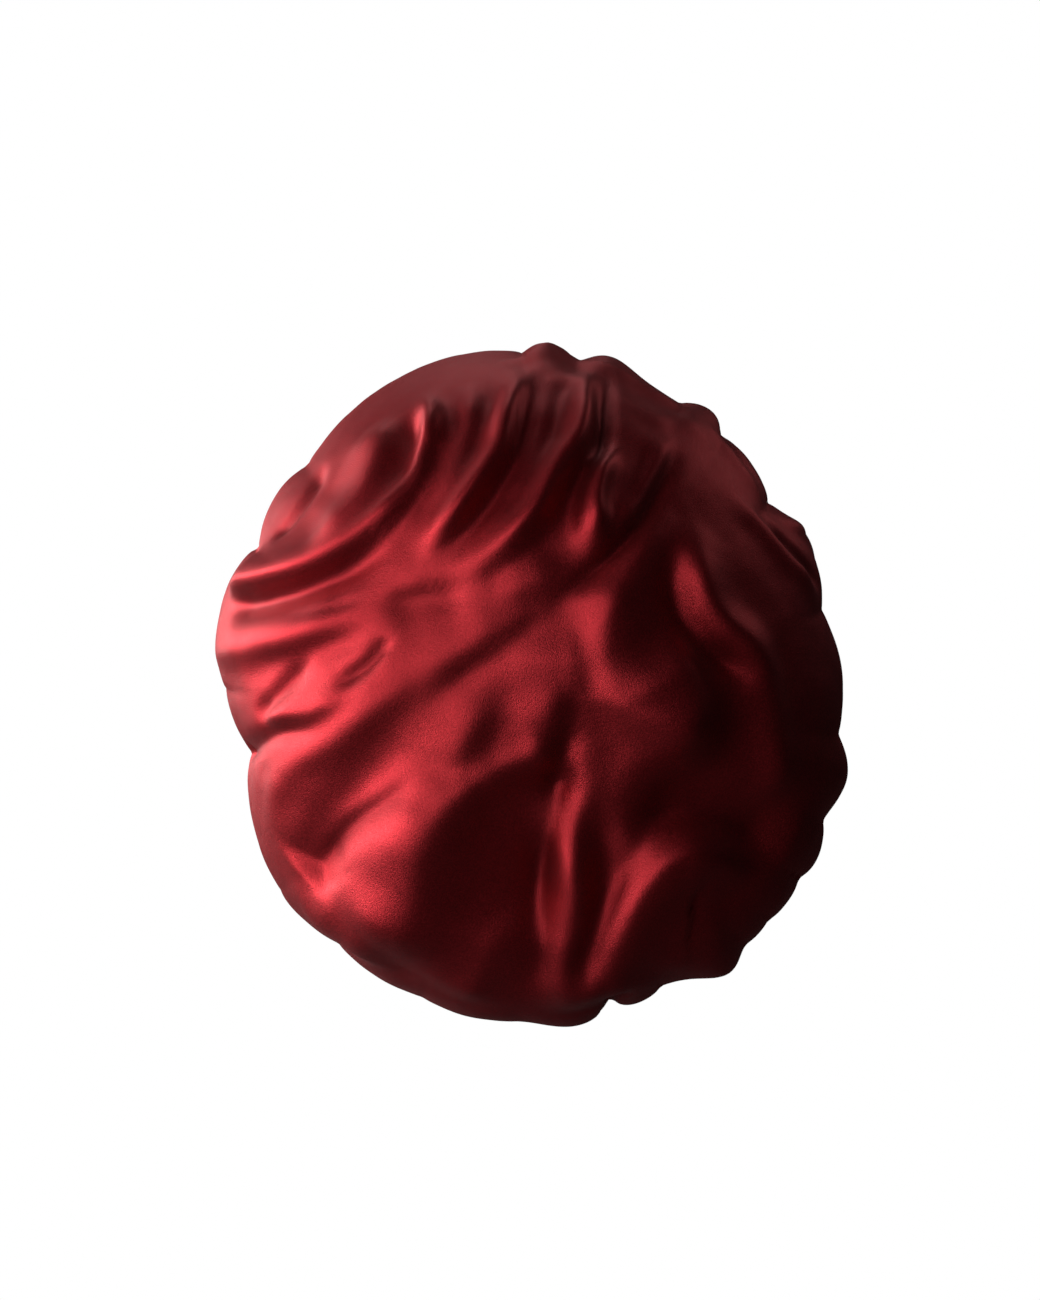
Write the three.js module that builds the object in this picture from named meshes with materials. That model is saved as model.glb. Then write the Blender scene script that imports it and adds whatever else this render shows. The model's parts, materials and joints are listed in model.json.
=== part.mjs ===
// Sleep bonnet: a round pouch of satin gathered onto an elastic band.
// Millimetres, +Z up. The wearer faces +Y, so -Y is the back of the head and +X the wearer's right.
// The origin is the centre of the head opening.
import * as THREE from 'three';

// Head opening: an ellipse round the hairline, tilted so that its front is high and its back low.
const OPENING_HALF_LONG = 104;
const OPENING_HALF_WIDE = 76;
const OPENING_TILT = THREE.MathUtils.degToRad(45);

// Elastic band and cloth
const BAND_WIDTH = 20;
const BAND_THICKNESS = 3;
const BAND_CORNER = 1;
const CLOTH_THICKNESS = 2;
const SEAM_GAP = 0.45;

// Pouch: the middle of its back, and how far back it and its widest ring lie
const BACK_X = 3;
const BACK_Z = 26;
const BACK_Y = -162;
const WIDEST_Y = -46;
const WIDEST_LEAN = 42;
const BACK_FULLNESS = 2.25;

// Underside, from the widest ring in to the band
const ROLL_FORWARD = 52;
const ROLL_FORWARD_LEAN = 14;
const FLARE_OUT = 38;
const FLARE_BACK = 10;

// Gathers that the elastic pulls into the cloth
const GATHERS = 36;
const GATHER_HEIGHT = 2.6;
const GATHER_FADE = 0.12;

// Mesh density
const MERIDIANS = 2 * GATHERS;
const BACK_RINGS = 22;
const UNDERSIDE_RINGS = 8;
const FOLD_STEPS = 14;
const NORMAL_STEP = 0.01;

// Puffs of cloth round the widest ring. Each starts at a pinch, in degrees anticlockwise from +X
// as seen from behind, and swells past the line between its two pinches.
const PUFFS = [
  { pinch: 15.3, radius: 144.0, swell: 5.0 },
  { pinch: 37.9, radius: 144.2, swell: 4.5 },
  { pinch: 61.8, radius: 154.0, swell: 3.0 },
  { pinch: 81.9, radius: 159.5, swell: 6.5 },
  { pinch: 92.2, radius: 161.5, swell: 6.5 },
  { pinch: 136.2, radius: 151.7, swell: 5.5 },
  { pinch: 154.0, radius: 147.0, swell: 7.0 },
  { pinch: 180.0, radius: 146.5, swell: 3.0 },
  { pinch: 193.5, radius: 137.0, swell: 9.0 },
  { pinch: 233.7, radius: 152.4, swell: 2.0 },
  { pinch: 248.2, radius: 153.0, swell: 7.0 },
  { pinch: 284.2, radius: 152.5, swell: 5.5 },
  { pinch: 313.5, radius: 157.0, swell: 2.5 },
  { pinch: 325.0, radius: 155.4, swell: 4.0 },
  { pinch: 335.4, radius: 153.0, swell: 5.0 },
  { pinch: 351.1, radius: 148.6, swell: 2.5 },
];
const PUFF_REACH = 0.28;
const SMOOTHING_SPAN = 22;
const SMOOTHING_STEPS = 11;
const SMOOTHING_FLOOR = 0.05;

// Folds pulled across the back. Each runs through three places, in X and Z as seen from behind.
// Height is outwards, or inwards when negative, and width is half of the fold's.
const FOLDS = [
  { name: 'brow roll', height: 4, width: 14, from: [-112, 97], via: [-88, 122], to: [-73, 150] },
  { name: 'temple ridge', height: 5, width: 12, from: [-142, 80], via: [-84, 98], to: [-52, 160] },
  { name: 'temple valley', height: -5, width: 12, from: [-134, 64], via: [-68, 92], to: [-38, 144] },
  { name: 'brow ridge', height: 5, width: 12, from: [-56, 96], via: [-22, 132], to: [-4, 176] },
  { name: 'brow valley', height: -4, width: 12, from: [-34, 92], via: [-4, 126], to: [8, 168] },
  { name: 'top ridge', height: 5, width: 12, from: [-14, 88], via: [14, 126], to: [26, 174] },
  { name: 'top valley', height: -6, width: 12, from: [10, 86], via: [36, 126], to: [46, 160] },
  { name: 'crease ridge', height: 4, width: 12, from: [36, 90], via: [58, 118], to: [76, 148] },
  { name: 'long crease', height: -6, width: 12, from: [-30, 40], via: [35, 84], to: [88, 134] },
  { name: 'long ridge', height: 4, width: 13, from: [-62, -4], via: [10, 46], to: [79, 114] },
  { name: 'sling ridge', height: 10, width: 17, from: [-108, -75], via: [-53, -29], to: [17, 10] },
  { name: 'sling hollow', height: -8, width: 18, from: [-52, -84], via: [-22, -50], to: [16, -12] },
  { name: 'side hollow', height: -4, width: 14, from: [-110, -60], via: [-90, -18], to: [-48, 21] },
  { name: 'side ridge', height: 4, width: 14, from: [-124, -45], via: [-112, -2], to: [-60, 33] },
  { name: 'ear valley', height: -4, width: 12, from: [-150, 26], via: [-112, 47], to: [-45, 66] },
  { name: 'ear roll', height: 4, width: 13, from: [-144, 56], via: [-112, 66], to: [-78, 78] },
  { name: 'nape ridge', height: 5, width: 12, from: [9, -126], via: [15, -70], to: [24, -10] },
  { name: 'nape valley', height: -4, width: 12, from: [28, -112], via: [36, -66], to: [40, -14] },
  { name: 'pouch arch', height: 6, width: 13, from: [40, -118], via: [62, -52], to: [118, -68] },
  { name: 'pouch hollow', height: -6, width: 16, from: [52, -20], via: [84, -20], to: [116, -38] },
  { name: 'pouch bulge', height: 4, width: 24, from: [60, -110], via: [78, -86], to: [96, -74] },
  { name: 'far ridge', height: 5, width: 14, from: [134, -34], via: [118, 5], to: [96, 50] },
  { name: 'far hook', height: 4, width: 13, from: [96, 50], via: [79, 72], to: [88, 114] },
  { name: 'far hollow', height: -5, width: 13, from: [74, 40], via: [60, 72], to: [76, 112] },
  { name: 'middle ridge', height: 5, width: 13, from: [50, 6], via: [34, 46], to: [58, 90] },
  { name: 'shoulder fold', height: 4, width: 14, from: [85, 128], via: [112, 98], to: [142, 62] },
];
const FOLD_FADE = 0.28;
const PAST_EDGE_REACH = 90;

const OPENING_NORMAL = new THREE.Vector3(0, Math.sin(OPENING_TILT), -Math.cos(OPENING_TILT));
const FULL_TURN = 2 * Math.PI;
const QUARTER_TURN = Math.PI / 2;

function smoothStep(value) {
  return THREE.MathUtils.smoothstep(value, 0, 1);
}

// Radius of the widest ring at an angle, with its puffs.
function puffedRadius(angle) {
  const degrees = THREE.MathUtils.euclideanModulo(THREE.MathUtils.radToDeg(angle), 360);
  const last = PUFFS.length - 1;
  const next = PUFFS.findIndex((puff) => puff.pinch > degrees);
  const end = next < 0 ? 0 : next;
  const start = end === 0 ? last : end - 1;
  const span = THREE.MathUtils.euclideanModulo(PUFFS[end].pinch - PUFFS[start].pinch, 360);
  const along = THREE.MathUtils.euclideanModulo(degrees - PUFFS[start].pinch, 360) / span;
  const line = THREE.MathUtils.lerp(PUFFS[start].radius, PUFFS[end].radius, along);
  return line + PUFFS[start].swell * Math.sin(Math.PI * along);
}

// The same ring with its puffs evened out.
function evenRadius(angle) {
  let sum = 0;
  let weights = 0;
  for (let step = -SMOOTHING_STEPS; step <= SMOOTHING_STEPS; step += 1) {
    const share = step / SMOOTHING_STEPS;
    const weight = Math.cos(share * QUARTER_TURN) + SMOOTHING_FLOOR;
    sum += weight * puffedRadius(angle + THREE.MathUtils.degToRad(share * SMOOTHING_SPAN));
    weights += weight;
  }
  return sum / weights;
}

function openingPoint(angle) {
  const along = OPENING_HALF_LONG * Math.sin(angle);
  return new THREE.Vector3(
    OPENING_HALF_WIDE * Math.cos(angle),
    along * Math.cos(OPENING_TILT),
    along * Math.sin(OPENING_TILT),
  );
}

function openingOutwards(angle) {
  return new THREE.Vector3(
    OPENING_HALF_LONG * Math.cos(angle),
    OPENING_HALF_WIDE * Math.sin(angle) * Math.cos(OPENING_TILT),
    OPENING_HALF_WIDE * Math.sin(angle) * Math.sin(OPENING_TILT),
  ).normalize();
}

// Smooth pouch at an angle and a station: 0 at the middle of the back, 1 at the widest ring, 2 at the band.
function smoothPoint(angle, station) {
  const cos = Math.cos(angle);
  const sin = Math.sin(angle);
  const radius = evenRadius(angle);
  const widestY = WIDEST_Y + WIDEST_LEAN * sin;
  if (station <= 1) {
    const turn = station * QUARTER_TURN;
    const out = radius * Math.sin(turn) ** (2 / BACK_FULLNESS);
    const forward = (widestY - BACK_Y) * (1 - Math.cos(turn) ** (2 / BACK_FULLNESS));
    return new THREE.Vector3(BACK_X + out * cos, BACK_Y + forward, BACK_Z + out * sin);
  }
  const widest = new THREE.Vector3(BACK_X + radius * cos, widestY, BACK_Z + radius * sin);
  const roll = new THREE.Vector3(0, ROLL_FORWARD + ROLL_FORWARD_LEAN * sin, 0);
  const rim = openingPoint(angle).addScaledVector(OPENING_NORMAL, -(BAND_WIDTH / 2 + SEAM_GAP));
  const flare = openingOutwards(angle).multiplyScalar(FLARE_OUT);
  flare.addScaledVector(OPENING_NORMAL, -FLARE_BACK);
  const curve = new THREE.CubicBezierCurve3(widest, widest.clone().add(roll), rim.clone().add(flare), rim);
  return curve.getPoint(station - 1);
}

// Station and angle of a place on the back, given in X and Z as seen from behind.
function placeOnBack(x, z) {
  const angle = Math.atan2(z - BACK_Z, x - BACK_X);
  const reach = Math.hypot(x - BACK_X, z - BACK_Z);
  const radius = evenRadius(angle);
  if (reach > radius) {
    return smoothPoint(angle, 1 + (reach - radius) / PAST_EDGE_REACH);
  }
  return smoothPoint(angle, Math.asin((reach / radius) ** (BACK_FULLNESS / 2)) / QUARTER_TURN);
}

// A fold's line on the smooth pouch, bent through its middle place.
function foldLine(fold) {
  const points = [];
  for (let step = 0; step <= FOLD_STEPS; step += 1) {
    const share = step / FOLD_STEPS;
    const place = [0, 1].map((axis) => {
      const bend = 2 * fold.via[axis] - (fold.from[axis] + fold.to[axis]) / 2;
      const before = THREE.MathUtils.lerp(fold.from[axis], bend, share);
      const after = THREE.MathUtils.lerp(bend, fold.to[axis], share);
      return THREE.MathUtils.lerp(before, after, share);
    });
    points.push(placeOnBack(place[0], place[1]));
  }
  return points;
}

const FOLD_LINES = FOLDS.map(foldLine);

// How far all the folds lift the cloth at a point of the smooth pouch.
function foldLift(point) {
  const segment = new THREE.Line3();
  const nearest = new THREE.Vector3();
  let lift = 0;
  FOLDS.forEach((fold, index) => {
    let distance = Infinity;
    let along = 0;
    for (let step = 0; step < FOLD_STEPS; step += 1) {
      segment.set(FOLD_LINES[index][step], FOLD_LINES[index][step + 1]);
      const share = segment.closestPointToPointParameter(point, true);
      const here = segment.at(share, nearest).distanceTo(point);
      if (here < distance) {
        distance = here;
        along = (step + share) / FOLD_STEPS;
      }
    }
    const fade = smoothStep(along / FOLD_FADE) * smoothStep((1 - along) / FOLD_FADE);
    lift += fold.height * fade * Math.exp(-((distance / fold.width) ** 2));
  });
  return lift;
}

function puffLift(angle, station) {
  const reach = Math.exp(-(((station - 1) / PUFF_REACH) ** 2));
  return (puffedRadius(angle) - evenRadius(angle)) * reach;
}

// Small pleats that stand up just outside the band and die out towards the widest ring.
function gatherLift(angle, station) {
  const fromBand = 2 - station;
  const fade = smoothStep(fromBand / GATHER_FADE) * smoothStep(1 - fromBand);
  return GATHER_HEIGHT * fade * Math.cos(GATHERS * angle);
}

function stationOfRing(ring) {
  if (ring <= BACK_RINGS) {
    return ring / BACK_RINGS;
  }
  return 1 + (ring - BACK_RINGS) / UNDERSIDE_RINGS;
}

// Outward direction of the smooth pouch, square to its meridian and its ring.
function smoothNormal(angle, station) {
  const before = Math.max(station - NORMAL_STEP, 0);
  const after = Math.min(station + NORMAL_STEP, 2);
  const alongMeridian = smoothPoint(angle, after).sub(smoothPoint(angle, before));
  const alongRing = smoothPoint(angle + NORMAL_STEP, station);
  alongRing.sub(smoothPoint(angle - NORMAL_STEP, station));
  return alongMeridian.cross(alongRing).normalize();
}

// One wall of the pouch, set in from its outer face: the point of the back, then ring after ring to the rim.
function pouchWall(inset) {
  const points = [];
  const lastRing = BACK_RINGS + UNDERSIDE_RINGS;
  const back = smoothPoint(0, 0);
  back.y -= foldLift(back) - inset;
  points.push(back);
  for (let ring = 1; ring <= lastRing; ring += 1) {
    const station = stationOfRing(ring);
    for (let meridian = 0; meridian < MERIDIANS; meridian += 1) {
      const angle = (meridian / MERIDIANS) * FULL_TURN;
      const point = smoothPoint(angle, station);
      const lift = foldLift(point) + puffLift(angle, station) + gatherLift(angle, station);
      points.push(point.addScaledVector(smoothNormal(angle, station), lift - inset));
    }
  }
  return points;
}

function geometryFrom(points, triangles) {
  const geometry = new THREE.BufferGeometry();
  geometry.setFromPoints(points);
  geometry.setIndex(triangles);
  geometry.computeVertexNormals();
  return geometry;
}

// Outer and inner wall of the pouch, closed by a strip round the rim.
function crownGeometry() {
  const outer = pouchWall(0);
  const inner = pouchWall(CLOTH_THICKNESS);
  const wallSize = outer.length;
  const lastRing = BACK_RINGS + UNDERSIDE_RINGS;
  const triangles = [];
  const at = (ring, meridian) => 1 + (ring - 1) * MERIDIANS + (meridian % MERIDIANS);
  const addFace = (a, b, c) => {
    triangles.push(a, b, c);
    triangles.push(wallSize + a, wallSize + c, wallSize + b);
  };
  for (let meridian = 0; meridian < MERIDIANS; meridian += 1) {
    addFace(0, at(1, meridian), at(1, meridian + 1));
    for (let ring = 1; ring < lastRing; ring += 1) {
      addFace(at(ring, meridian), at(ring + 1, meridian), at(ring + 1, meridian + 1));
      addFace(at(ring, meridian), at(ring + 1, meridian + 1), at(ring, meridian + 1));
    }
    const rim = at(lastRing, meridian);
    const nextRim = at(lastRing, meridian + 1);
    triangles.push(rim, wallSize + rim, nextRim);
    triangles.push(nextRim, wallSize + rim, wallSize + nextRim);
  }
  return geometryFrom([...outer, ...inner], triangles);
}

// The band's section, with chamfered corners: outwards from the head, and along the opening's normal.
const BAND_SECTION = [
  { out: BAND_THICKNESS / 2, along: BAND_WIDTH / 2 - BAND_CORNER },
  { out: BAND_THICKNESS / 2 - BAND_CORNER, along: BAND_WIDTH / 2 },
  { out: BAND_CORNER - BAND_THICKNESS / 2, along: BAND_WIDTH / 2 },
  { out: -BAND_THICKNESS / 2, along: BAND_WIDTH / 2 - BAND_CORNER },
  { out: -BAND_THICKNESS / 2, along: BAND_CORNER - BAND_WIDTH / 2 },
  { out: BAND_CORNER - BAND_THICKNESS / 2, along: -BAND_WIDTH / 2 },
  { out: BAND_THICKNESS / 2 - BAND_CORNER, along: -BAND_WIDTH / 2 },
  { out: BAND_THICKNESS / 2, along: BAND_CORNER - BAND_WIDTH / 2 },
];

function bandGeometry() {
  const points = [];
  const triangles = [];
  const corners = BAND_SECTION.length;
  for (let meridian = 0; meridian < MERIDIANS; meridian += 1) {
    const angle = (meridian / MERIDIANS) * FULL_TURN;
    for (const corner of BAND_SECTION) {
      const point = openingPoint(angle);
      point.addScaledVector(openingOutwards(angle), corner.out);
      points.push(point.addScaledVector(OPENING_NORMAL, corner.along));
    }
    for (let side = 0; side < corners; side += 1) {
      const here = meridian * corners;
      const next = ((meridian + 1) % MERIDIANS) * corners;
      const after = (side + 1) % corners;
      triangles.push(here + side, here + after, next + side);
      triangles.push(here + after, next + after, next + side);
    }
  }
  return geometryFrom(points, triangles);
}

const crown = new THREE.Mesh(
  crownGeometry(),
  new THREE.MeshStandardMaterial({ color: 0x8c1219, roughness: 0.4, metalness: 0.3 }),
);
crown.name = 'crown';

const elasticBand = new THREE.Mesh(
  bandGeometry(),
  new THREE.MeshStandardMaterial({ color: 0x7c0f16, roughness: 0.45, metalness: 0.3 }),
);
elasticBand.name = 'elastic_band';

const bonnet = new THREE.Group();
bonnet.name = 'sleep_bonnet';
bonnet.add(crown, elasticBand);

export default bonnet;
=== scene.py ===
"""Sleep bonnet: a round pouch of crimson satin gathered onto an elastic band.

Tables hold millimetres and degrees, and objects are made in metres. +Z is up, the wearer faces +Y,
and the origin is the centre of the head opening, as in the frame.
"""
import json
import math
import random
from collections import namedtuple

import bmesh
import bpy
import numpy as np
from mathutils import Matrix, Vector, noise


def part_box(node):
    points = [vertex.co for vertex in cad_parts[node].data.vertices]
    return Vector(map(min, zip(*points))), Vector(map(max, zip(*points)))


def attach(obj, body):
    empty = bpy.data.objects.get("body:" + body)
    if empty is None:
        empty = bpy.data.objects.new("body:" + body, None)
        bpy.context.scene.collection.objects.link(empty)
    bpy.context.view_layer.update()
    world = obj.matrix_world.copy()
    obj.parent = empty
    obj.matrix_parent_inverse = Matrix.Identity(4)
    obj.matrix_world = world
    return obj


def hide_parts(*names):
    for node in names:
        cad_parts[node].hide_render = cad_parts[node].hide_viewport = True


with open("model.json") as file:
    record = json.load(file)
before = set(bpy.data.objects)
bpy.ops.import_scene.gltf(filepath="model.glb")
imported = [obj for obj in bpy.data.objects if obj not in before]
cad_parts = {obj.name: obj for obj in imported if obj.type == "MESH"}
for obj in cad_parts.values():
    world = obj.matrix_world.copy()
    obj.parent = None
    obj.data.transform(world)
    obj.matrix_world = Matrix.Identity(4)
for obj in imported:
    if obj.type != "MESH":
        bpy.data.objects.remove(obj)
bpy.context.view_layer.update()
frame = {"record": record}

MM = 0.001
TINY = 1e-6
FULL_TURN = 2 * math.pi
QUARTER_TURN = FULL_TURN / 4
EIGHTH_TURN = FULL_TURN / 8

# ---------------------------------------------------------------- sizes

BAND_WIDTH = 20
BAND_THICKNESS = 3
BAND_CORNER = 1
SEAM_GAP = 0.15

# Head opening: an ellipse round the hairline, with its front high and its back low. It is square to
# the axis of the frame's mount. The frame's band is centred on it, has bevelled corners, and reaches
# this far along X, Y and Z.
HEAD_OPENING = next(mount for mount in frame["record"]["mounts"] if mount["name"] == "head_opening")
OPENING_NORMAL = np.array(HEAD_OPENING["axis"]) / np.linalg.norm(HEAD_OPENING["axis"])
OPENING_TILT = math.atan2(OPENING_NORMAL[1], -OPENING_NORMAL[2])
BAND_REACH = np.array(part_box("elastic_band")[1]) / MM
BAND_HALF_FLAT = BAND_WIDTH / 2 - BAND_CORNER
OPENING_HALF_WIDE = BAND_REACH[0] - BAND_THICKNESS / 2
OPENING_HALF_LONG = (
    (BAND_REACH[1] - BAND_HALF_FLAT * math.sin(OPENING_TILT)) / math.cos(OPENING_TILT)
    - BAND_THICKNESS / 2
)
OPENING_ROUND = FULL_TURN * math.sqrt((OPENING_HALF_LONG ** 2 + OPENING_HALF_WIDE ** 2) / 2)

# Pouch: the middle of its back, and how far back it and its widest ring lie. The ring leans
# forwards at its top. The back's profile is an ellipse at a fullness of 2, and fuller above that.
BACK_X = 3
BACK_Z = 26
BACK_Y = -162
WIDEST_Y = -46
WIDEST_LEAN = 42
BACK_FULLNESS = 2.25

# Underside, from the widest ring in to the band
ROLL_FORWARD = 52
ROLL_FORWARD_LEAN = 14
FLARE_OUT = 38
FLARE_BACK = 10

SATIN_THICKNESS = 0.7
CUT_DIAMETER = 620

# The cloth is a grid of squares, whose square rings become the round rings of the pouch. This share
# of them lies on the back.
CLOTH_SQUARES = 220
BACK_SHARE = 0.70

# How far apart the places are that give the smooth pouch's direction, in stations and in radians
NORMAL_STEP = 0.01

# ---------------------------------------------------------------- outline and folds

# Puffs of cloth round the widest ring. Each starts at a pinch, in degrees anticlockwise from +X
# as seen from behind, and swells past the line between its two pinches. Its peak is a share of the
# way to the next pinch, and it is pointed above 1 and blunt below 1. The reaches are the stations
# over which puffs fade on the back and on the underside.
Puff = namedtuple("Puff", "pinch radius swell peak point")
PUFFS = [
    Puff(14.6, 143.1, 6.4, 0.50, 0.8),
    Puff(37.3, 142.0, 3.2, 0.35, 0.9),
    Puff(52.5, 151.2, 5.5, 0.50, 0.8),
    Puff(61.8, 152.6, 6.4, 0.72, 1.6),
    Puff(81.9, 157.0, 6.3, 0.58, 1.0),
    Puff(91.8, 159.1, 6.2, 0.45, 0.7),
    Puff(136.2, 150.3, 5.0, 0.50, 0.7),
    Puff(154.0, 145.8, 7.8, 0.40, 0.6),
    Puff(180.4, 146.5, 1.8, 0.50, 0.8),
    Puff(193.4, 136.6, 3.4, 0.40, 0.7),
    Puff(219.0, 153.2, 2.2, 0.45, 0.8),
    Puff(232.9, 151.8, 1.8, 0.45, 0.8),
    Puff(250.3, 154.8, 1.8, 0.50, 0.8),
    Puff(267.0, 157.5, 7.0, 0.66, 0.9),
    Puff(284.1, 151.5, 4.2, 0.45, 0.6),
    Puff(293.0, 153.0, 8.0, 0.66, 1.7),
    Puff(310.0, 158.0, 0.8, 0.50, 0.8),
    Puff(315.5, 157.0, 2.4, 0.45, 0.8),
    Puff(324.6, 154.8, 4.2, 0.45, 0.7),
    Puff(335.1, 152.6, 6.4, 0.55, 1.2),
    Puff(351.4, 147.6, 3.0, 0.45, 0.8),
]
PUFF_REACH_BACK = 0.24
PUFF_REACH_UNDER = 0.5

# The even ring is a weighted mean of the puffed one over this many degrees to each side
SMOOTHING_SPAN = 22
SMOOTHING_STEPS = 11
SMOOTHING_FLOOR = 0.05

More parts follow.
